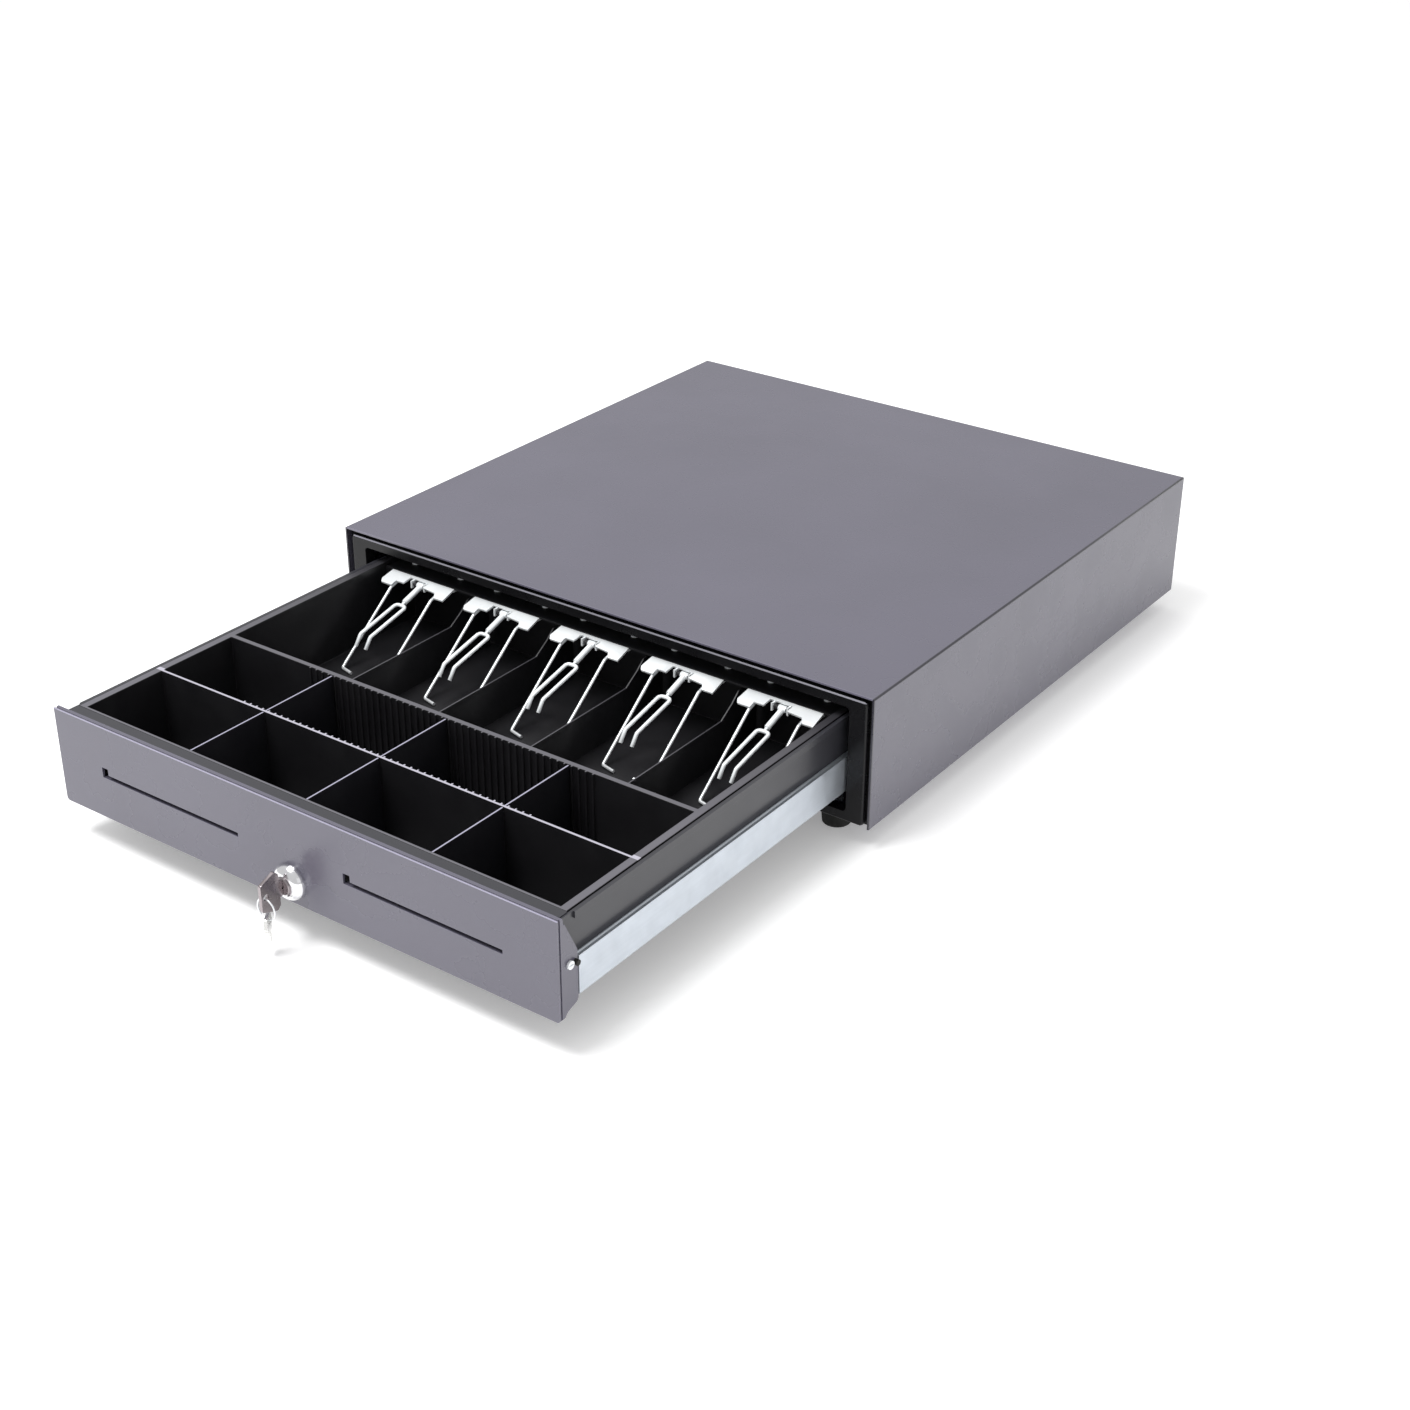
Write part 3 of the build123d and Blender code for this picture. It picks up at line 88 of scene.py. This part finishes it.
class Finish:
    """A material on a Principled shader, with short calls for the nodes that vary it."""

    def __init__(self, name, metallic=0.0, specular=0.5, coat=0.0, coat_roughness=0.1):
        self.material = bpy.data.materials.new(name)
        self.material.use_nodes = True
        self.nodes = self.material.node_tree.nodes
        self.links = self.material.node_tree.links
        self.shader = self.nodes["Principled BSDF"]
        self.shader.inputs["Metallic"].default_value = metallic
        self.shader.inputs["Specular IOR Level"].default_value = specular
        self.shader.inputs["Coat Weight"].default_value = coat
        self.shader.inputs["Coat Roughness"].default_value = coat_roughness
        coordinates = self.nodes.new("ShaderNodeTexCoord")
        self.place = coordinates.outputs["Object"]
        self.facing = coordinates.outputs["Normal"]
        self.normal = None

    def combine(self, operation, a, b):
        """The result of a clamped math operation on two sockets or numbers."""
        node = self.nodes.new("ShaderNodeMath")
        node.operation = operation
        node.use_clamp = True
        for socket, value in zip(node.inputs, (a, b)):
            if isinstance(value, (int, float)):
                socket.default_value = value
            else:
                self.links.new(value, socket)
        return node.outputs[0]

    def spread(self, value, low, high, start=0.35, end=0.65):
        """Maps values from start to end onto low to high."""
        node = self.nodes.new("ShaderNodeMapRange")
        self.links.new(value, node.inputs["Value"])
        for socket, number in zip(list(node.inputs)[1:5], (start, end, low, high)):
            socket.default_value = number
        return node.outputs[0]

    def noise(self, scale, detail=2.0, stretch=(1, 1, 1)):
        mapping = self.nodes.new("ShaderNodeMapping")
        mapping.inputs["Scale"].default_value = stretch
        self.links.new(self.place, mapping.inputs["Vector"])
        node = self.nodes.new("ShaderNodeTexNoise")
        node.inputs["Scale"].default_value = scale
        node.inputs["Detail"].default_value = detail
        self.links.new(mapping.outputs[0], node.inputs["Vector"])
        return node.outputs["Fac"]

    def mix(self, share, a, b):
        node = self.nodes.new("ShaderNodeMix")
        node.data_type = "RGBA"
        self.links.new(share, node.inputs["Factor"])
        for socket, value in ((node.inputs["A"], a), (node.inputs["B"], b)):
            if isinstance(value, tuple):
                socket.default_value = (*value, 1)
            else:
                self.links.new(value, socket)
        return node.outputs["Result"]

    def bump(self, height, strength, distance):
        """Adds a bump on top of those that are there already."""
        node = self.nodes.new("ShaderNodeBump")
        node.inputs["Strength"].default_value = strength
        node.inputs["Distance"].default_value = distance
        self.links.new(height, node.inputs["Height"])
        if self.normal is not None:
            self.links.new(self.normal, node.inputs["Normal"])
        self.normal = node.outputs[0]
        self.links.new(self.normal, self.shader.inputs["Normal"])

    def noisy_edge_mask(self, radius, low=0.02, high=0.16):
        """1 along outer edges, 0 on flat faces, broken up by noise."""
        rounded = self.nodes.new("ShaderNodeBevel")
        rounded.samples = 4
        rounded.inputs["Radius"].default_value = radius
        true = self.nodes.new("ShaderNodeNewGeometry").outputs["Normal"]
        dot = self.nodes.new("ShaderNodeVectorMath")
        dot.operation = "DOT_PRODUCT"
        self.links.new(rounded.outputs[0], dot.inputs[0])
        self.links.new(true, dot.inputs[1])
        mask = self.spread(self.combine("SUBTRACT", 1.0, dot.outputs["Value"]), 0, 1, low, high)
        patchy = self.spread(self.noise(260, 3), 0.35, 1.0)
        return self.combine("MULTIPLY", mask, patchy)

    def along(self, vector, axis, start, end):
        """0 where the vector's component is below start, 1 above end."""
        split = self.nodes.new("ShaderNodeSeparateXYZ")
        self.links.new(vector, split.inputs[0])
        return self.spread(split.outputs[axis], 0, 1, start, end)

    def tops(self, low):
        """1 on faces that look up, above the given height in metres."""
        facing = self.along(self.facing, "Z", 0.85, 0.95)
        return self.combine("MULTIPLY", facing, self.along(self.place, "Z", low, low + TOPS_RAMP))

    def within(self, **limits):
        """1 where the place lies between the limits given for each axis, in metres."""
        inside = 1.0
        for axis, (low, high) in limits.items():
            above = self.along(self.place, axis, low, low + MASK_RAMP)
            beyond = self.along(self.place, axis, high - MASK_RAMP, high)
            between = self.combine("MULTIPLY", above, self.combine("SUBTRACT", 1.0, beyond))
            inside = self.combine("MULTIPLY", inside, between)
        return inside

    def colour(self, value):
        self.links.new(value, self.shader.inputs["Base Color"])

    def roughness(self, value):
        self.links.new(value, self.shader.inputs["Roughness"])


def tint(colour, factor):
    return tuple(min(1.0, channel * factor) for channel in colour)


# Stretch of a noise by axis: drawn lines along an axis, none, and the flow marks of a moulding
ALONG_X = (0.03, 1, 1)
ALONG_Y = (1, 0.03, 1)
EVEN = (1, 1, 1)
FLOW = (1, 0.4, 1)

# Places in metres, by axis
# Painted highlight along the cover's top front edge
COVER_FRONT_EDGE = {"Y": (-0.2042, -0.2034), "Z": (0.0990, 0.1010)}
COVER_SIDE_CUTS = {"Y": (-0.2042, -0.2030), "Z": (0.0130, 0.0990)}
# Painted dark reflection along the cover's top folds, right and left
COVER_FOLD_RIGHT = {"X": (0.2038, 0.2060), "Z": (0.0988, 0.1010)}
COVER_FOLD_LEFT = {"X": (-0.2060, -0.2038), "Z": (0.0988, 0.1010)}
# Painted highlight along the front panel's top edge
PANEL_TOP_EDGE = {"Y": (-0.4640, -0.4628), "Z": (0.0829, 0.0840)}
# Painted highlight along the bezel's rounded top edge
BEZEL_TOP_EDGE = {"Y": (-0.2037, -0.2026), "Z": (0.0949, 0.0958)}
# Painted highlight along the coin wall's top
COIN_WALL_TOP = {"Y": (-0.3919, -0.3888), "Z": (0.0802, 0.0810)}
WALL_TOPS = 0.0575  # the till's walls and dividers all end above this
TOPS_LIT_TO, TOPS_UNLIT_FROM = -0.36, -0.16  # in Y; the painted highlight on the till's wall tops is full in front of the first, gone behind the second


def powder_coat(name, colour, rough, peel=0.14, wear_and_highlight=1.9, specular=0.5, edges=()):
    """Baked powder coat on sheet steel: orange peel, slight mottling, lighter along the edges as
    wear and a painted highlight, and tinted by a factor within each set of limits in edges, mostly
    painted highlights and painted dark reflections."""
    finish = Finish(name, specular=specular)
    patches = finish.spread(finish.noise(9, 3), 0, 1, 0.3, 0.7)
    mottled = finish.mix(patches, tint(colour, 0.94), tint(colour, 1.06))
    fine = finish.mix(finish.spread(finish.noise(1500, 2), 0, 0.25), mottled, tint(colour, 1.25))
    # Lighter along the edges: wear, and a painted highlight
    worn_and_lit = finish.mix(finish.noisy_edge_mask(0.0005), fine, tint(colour, wear_and_highlight))
    for limits, factor in edges:
        worn_and_lit = finish.mix(finish.within(**limits), worn_and_lit, tint(colour, factor))
    finish.colour(worn_and_lit)
    finish.roughness(finish.spread(finish.noise(40, 4), rough - 0.02, rough + 0.03))
    finish.bump(finish.noise(750, 2), peel, 0.00006)
    finish.bump(finish.noise(3200, 1), peel * 0.5, 0.00002)
    return finish.material


def moulded_plastic(name, colour, rough, grain=0.3, wear_and_highlight=2.2, specular=0.5, top_highlight=None, edges=()):
    """Injection-moulded plastic: fine spark grain, faint flow marks, edges lighter as wear and a
    painted highlight.
    The tops of the walls can get a painted highlight by a given factor, full at the front and
    fading toward the back. Each set of limits in edges is tinted by its own factor, as a painted
    highlight."""
    finish = Finish(name, specular=specular)
    marks = finish.spread(finish.noise(14, 4, FLOW), 0, 1)
    flow = finish.mix(marks, tint(colour, 0.85), tint(colour, 1.15))
    # Lighter along the edges: wear, and a painted highlight
    worn_and_lit = finish.mix(finish.noisy_edge_mask(0.0004), flow, tint(colour, wear_and_highlight))
    # Painted highlight on the wall tops, full at the front, fading out toward the back
    if top_highlight is not None:
        behind = finish.along(finish.place, "Y", TOPS_LIT_TO, TOPS_UNLIT_FROM)
        highlit_share = finish.combine("SUBTRACT", 1.0, behind)
        lit_tops = finish.combine("MULTIPLY", finish.tops(WALL_TOPS), highlit_share)
        worn_and_lit = finish.mix(lit_tops, worn_and_lit, tint(colour, top_highlight))
    for limits, factor in edges:
        worn_and_lit = finish.mix(finish.within(**limits), worn_and_lit, tint(colour, factor))
    finish.colour(worn_and_lit)
    finish.roughness(finish.spread(finish.noise(55, 3), rough - 0.06, rough + 0.06))
    finish.bump(finish.noise(2600, 2), grain, 0.00003)
    return finish.material


def plated_steel(name, colour, rough, stretch, metallic=1.0, drawn=0.25):
    """Zinc or nickel plate over rolled steel: drawn lines along one way, cloudy spangle."""
    finish = Finish(name, metallic=metallic)
    spangle = finish.spread(finish.noise(70, 4), 0, 1)
    clouds = finish.mix(spangle, tint(colour, 0.95), tint(colour, 1.03))
    lines = finish.noise(700, 3, stretch)
    streaked = finish.mix(finish.spread(lines, 0, 0.2), clouds, tint(colour, 0.85))
    finish.colour(finish.mix(finish.noisy_edge_mask(0.0003), streaked, tint(colour, 1.15)))
    finish.roughness(finish.spread(finish.noise(110, 4), rough - 0.06, rough + 0.08))
    finish.bump(lines, drawn, 0.00002)
    return finish.material


def rubber(name, colour):
    """Dull rubber with a dusty bloom and a fine grain."""
    finish = Finish(name, specular=0.3)
    bloom = finish.spread(finish.noise(180, 5), 0, 1)
    finish.colour(finish.mix(bloom, tint(colour, 0.8), tint(colour, 1.5)))
    finish.roughness(finish.spread(finish.noise(400, 2), 0.7, 0.85))
    finish.bump(finish.noise(1800, 3), 0.4, 0.00005)
    return finish.material


def coil_wrap(name, colour):
    """Varnished winding: fine turns round the coil's axis."""
    finish = Finish(name, specular=0.5, coat=0.4)
    wave = finish.nodes.new("ShaderNodeTexWave")
    wave.bands_direction = "Z"
    wave.inputs["Scale"].default_value = 420
    finish.links.new(finish.place, wave.inputs["Vector"])
    turns = wave.outputs["Fac"]
    finish.colour(finish.mix(turns, tint(colour, 0.55), tint(colour, 1.1)))
    finish.roughness(finish.spread(finish.noise(200, 2), 0.3, 0.45))
    finish.bump(turns, 0.6, 0.0001)
    return finish.material


finishes = {
    "painted_steel": powder_coat(
        "painted_steel",
        (0.098, 0.093, 0.125),
        0.27,
        specular=0.75,
        edges=(
            # painted highlight on the cover's front edge
            (COVER_FRONT_EDGE, 1.6),
            (COVER_SIDE_CUTS, 0.35),
            # painted highlight on the panel's top edge
            (PANEL_TOP_EDGE, 3.2),
            # painted dark reflections along the cover's folds
            (COVER_FOLD_RIGHT, 0.3),
            (COVER_FOLD_LEFT, 0.3),
        ),
    ),
    "pan_steel": powder_coat("pan_steel", (0.03, 0.03, 0.036), 0.3),
    "black_steel": powder_coat("black_steel", (0.016, 0.016, 0.018), 0.4),
    "black_screws": powder_coat("black_screws", (0.02, 0.02, 0.022), 0.45, wear_and_highlight=4.0),
    "bezel_plastic": moulded_plastic(
        "bezel_plastic",
        (0.0072, 0.0071, 0.0082),
        0.3,
        grain=0.12,
        specular=0.25,
        # painted highlight along the bezel's top edge
        edges=((BEZEL_TOP_EDGE, 36.0),),
    ),
    "till_plastic": moulded_plastic(
        "till_plastic",
        (0.0102, 0.0099, 0.0115),
        0.4,
        grain=0.25,
        # much lighter edges on the till: mostly a painted highlight
        wear_and_highlight=14.0,
        # painted highlight on the wall tops
        top_highlight=11.0,
        # painted highlight along the coin wall's top
        edges=((COIN_WALL_TOP, 40.0),),
    ),
    "black_plastic": moulded_plastic("black_plastic", (0.012, 0.012, 0.012), 0.5),
    "rubber": rubber("rubber", (0.016, 0.016, 0.015)),
    "slide_steel": plated_steel(
        "slide_steel", (0.54, 0.58, 0.63), 0.38, ALONG_Y, metallic=0.7, drawn=0.12
    ),
    "cage_steel": plated_steel("cage_steel", (0.6, 0.6, 0.62), 0.35, ALONG_Y),
    "zinc_steel": plated_steel("zinc_steel", (0.86, 0.88, 0.9), 0.3, EVEN, metallic=0.5),
    "zinc_bright": plated_steel(
        "zinc_bright", (0.93, 0.96, 0.98), 0.34, ALONG_X, metallic=0.2, drawn=0.1
    ),
    "spring_steel": plated_steel("spring_steel", (0.5, 0.5, 0.52), 0.3, EVEN),
    "chrome": plated_steel("chrome", (0.82, 0.82, 0.84), 0.1, EVEN, drawn=0.05),
    "lock_core": plated_steel("lock_core", (0.3, 0.27, 0.28), 0.3, EVEN),
    "key_nickel": plated_steel("key_nickel", (0.36, 0.32, 0.33), 0.26, ALONG_Y),
    "key_bright": plated_steel("key_bright", (0.86, 0.86, 0.84), 0.22, EVEN, metallic=0.9),
    "coil_wrap": coil_wrap("coil_wrap", (0.5, 0.22, 0.05)),
}
# Nearly the till's plastic, with a stronger painted highlight on the coin dividers' tops and edges
coin_divider_highlit_finish = moulded_plastic(
    "coin_divider_plastic_highlit", (0.010, 0.0097, 0.0125), 0.4, grain=0.25, wear_and_highlight=14.0, top_highlight=34.0
)
slot_of = {row["node"]: row["material_slot"] for row in frame["record"]["subparts"]}
for name, piece in cad_nodes.items():
    piece.data.materials.clear()
    if name.startswith("coin_dividers"):
        piece.data.materials.append(coin_divider_highlit_finish)
    elif name == "clip_rivets":
        piece.data.materials.append(finishes["zinc_bright"])
    else:
        piece.data.materials.append(finishes[slot_of[name]])

# --- Eased edges on the CAD pieces --------------------------------------------------------------
CLIP_NUMBERS = range(1, 6)
EASED = {  # width in mm: pieces
    0.35: ("drawer_front_panel", "till_tray"),
    0.3: ("base_pan", "front_bezel", "drawer_pan"),
    0.25: (
        "cabinet_cover",
        "coin_dividers_front",
        "coin_dividers_rear",
        "clip_rail",
        "latch_hook",
        *(f"clip_bracket_{number}" for number in CLIP_NUMBERS),
    ),
    0.2: (
        "note_dividers",
        "drawer_rail_left",
        "drawer_rail_right",
        "cabinet_rail_left",
        "cabinet_rail_right",
        "lock_key",
        "spare_key",
        "lock_cam",
        "latch_bracket",
        "solenoid_frame",
        "spring_seat",
        "data_socket",
        *(f"clip_arm_{number}" for number in CLIP_NUMBERS),
    ),
    0.15: ("panel_screws",),
    0.12: ("cover_screws",),
}

# On all the others the triangles of each flat face are joined first, because easing drags the lines
# between them across the face. Joining these makes worse faces than it mends.
TRIANGLES_KEPT = {
    "cabinet_cover",
    "drawer_front_panel",
    "lock_cam",
    "lock_key",
    *(f"clip_arm_{number}" for number in CLIP_NUMBERS),
}
WELDED_WITHIN = 0.000002  # metres
FLAT_WITHIN = math.radians(0.5)
EASED_FROM = math.radians(40)
EASING_SEGMENTS = 2


def ease(piece, width_mm):
    """Rounds the piece's sharp edges, without changing its mesh."""
    weld = piece.modifiers.new("weld", "WELD")
    weld.merge_threshold = WELDED_WITHIN
    if piece.name not in TRIANGLES_KEPT:
        flat = piece.modifiers.new("flat", "DECIMATE")
        flat.decimate_type = "DISSOLVE"
        flat.angle_limit = FLAT_WITHIN
    bevel = piece.modifiers.new("eased", "BEVEL")
    bevel.width = width_mm / 1000
    bevel.segments = EASING_SEGMENTS
    bevel.limit_method = "ANGLE"
    bevel.angle_limit = EASED_FROM
    bevel.harden_normals = True


for width_mm, names in EASED.items():
    for name in names:
        ease(cad_nodes[name], width_mm)

# --- Ejector spring: a wire coil in the CAD spring's place, fixed to the cabinet ----------------
SPRING_TURNS = 10
SPRING_WIRE_RADIUS = 0.0008  # metres
POINTS_PER_TURN = 24


def ejector_spring():
    low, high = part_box("eject_spring")
    middle = (low + high) / 2
    coil_radius = (high.x - low.x) / 2 - SPRING_WIRE_RADIUS
    start, end = low.y + SPRING_WIRE_RADIUS, high.y - SPRING_WIRE_RADIUS
    curve = bpy.data.curves.new("ejector_spring", "CURVE")
    curve.dimensions = "3D"
    curve.bevel_depth = SPRING_WIRE_RADIUS
    curve.bevel_resolution = 3
    curve.use_fill_caps = True
    count = SPRING_TURNS * POINTS_PER_TURN + 1
    spline = curve.splines.new("POLY")
    spline.points.add(count - 1)
    for index, point in enumerate(spline.points):
        share = index / (count - 1)
        angle = 2 * math.pi * SPRING_TURNS * share
        x = middle.x + coil_radius * math.cos(angle)
        z = middle.z + coil_radius * math.sin(angle)
        point.co = (x, start + (end - start) * share, z, 1)
    source = bpy.data.objects.new("ejector_spring_path", curve)
    bpy.context.scene.collection.objects.link(source)
    bpy.context.view_layer.update()
    evaluated = source.evaluated_get(bpy.context.evaluated_depsgraph_get())
    mesh = bpy.data.meshes.new_from_object(evaluated)
    bpy.data.objects.remove(source)
    mesh.materials.clear()
    mesh.materials.append(finishes["spring_steel"])
    for face in mesh.polygons:
        face.use_smooth = True
    spring = bpy.data.objects.new("ejector_spring", mesh)
    bpy.context.scene.collection.objects.link(spring)
    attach(spring, "cabinet")
    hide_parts("eject_spring")
    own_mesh(spring)


ejector_spring()

# --- Floor and light ----------------------------------------------------------------------------
FLOOR_HALF = 9.0  # metres
FLOOR_GLOW = 0.26
WORLD_GLOW = 0.7
LIT_POINT = Vector((0, -0.1, 0.05))
SOFTBOXES = (  # name, place and size in metres, power in watts
    ("key", (-0.5, -1.05, 2.3), (1.1, 0.9), 50),
    ("side fill", (2.2, -0.9, 0.9), (1.6, 1.0), 1),
    ("top", (-0.2, 0.1, 2.4), (2.2, 2.2), 10),
)


def floor():
    mesh = bpy.data.meshes.new("floor")
    work = bmesh.new()
    corners = [(-1, -1), (1, -1), (1, 1), (-1, 1)]
    work.faces.new([work.verts.new((x * FLOOR_HALF, y * FLOOR_HALF, 0)) for x, y in corners])
    work.to_mesh(mesh)
    work.free()
    plane = bpy.data.objects.new("floor", mesh)
    bpy.context.scene.collection.objects.link(plane)
    look = Finish("floor", specular=0.1)
    look.colour(look.mix(look.noise(3, 2), (0.86, 0.86, 0.86), (0.88, 0.88, 0.88)))
    look.roughness(look.spread(look.noise(30, 2), 0.8, 0.9))
    look.shader.inputs["Emission Color"].default_value = (1, 1, 1, 1)
    look.shader.inputs["Emission Strength"].default_value = FLOOR_GLOW
    mesh.materials.append(look.material)


def softbox(name, place, size, power):
    data = bpy.data.lights.new(name, "AREA")
    data.shape = "RECTANGLE"
    data.size, data.size_y = size
    data.energy = power
    lamp = bpy.data.objects.new(name, data)
    lamp.location = place
    lamp.rotation_euler = (LIT_POINT - Vector(place)).to_track_quat("-Z", "Y").to_euler()
    bpy.context.scene.collection.objects.link(lamp)


floor()
for box in SOFTBOXES:
    softbox(*box)

world = bpy.data.worlds.new("studio")
world.use_nodes = True
background = world.node_tree.nodes["Background"]
background.inputs["Color"].default_value = (1, 1, 1, 1)
background.inputs["Strength"].default_value = WORLD_GLOW
bpy.context.scene.world = world
bpy.context.scene.view_settings.view_transform = "Standard"
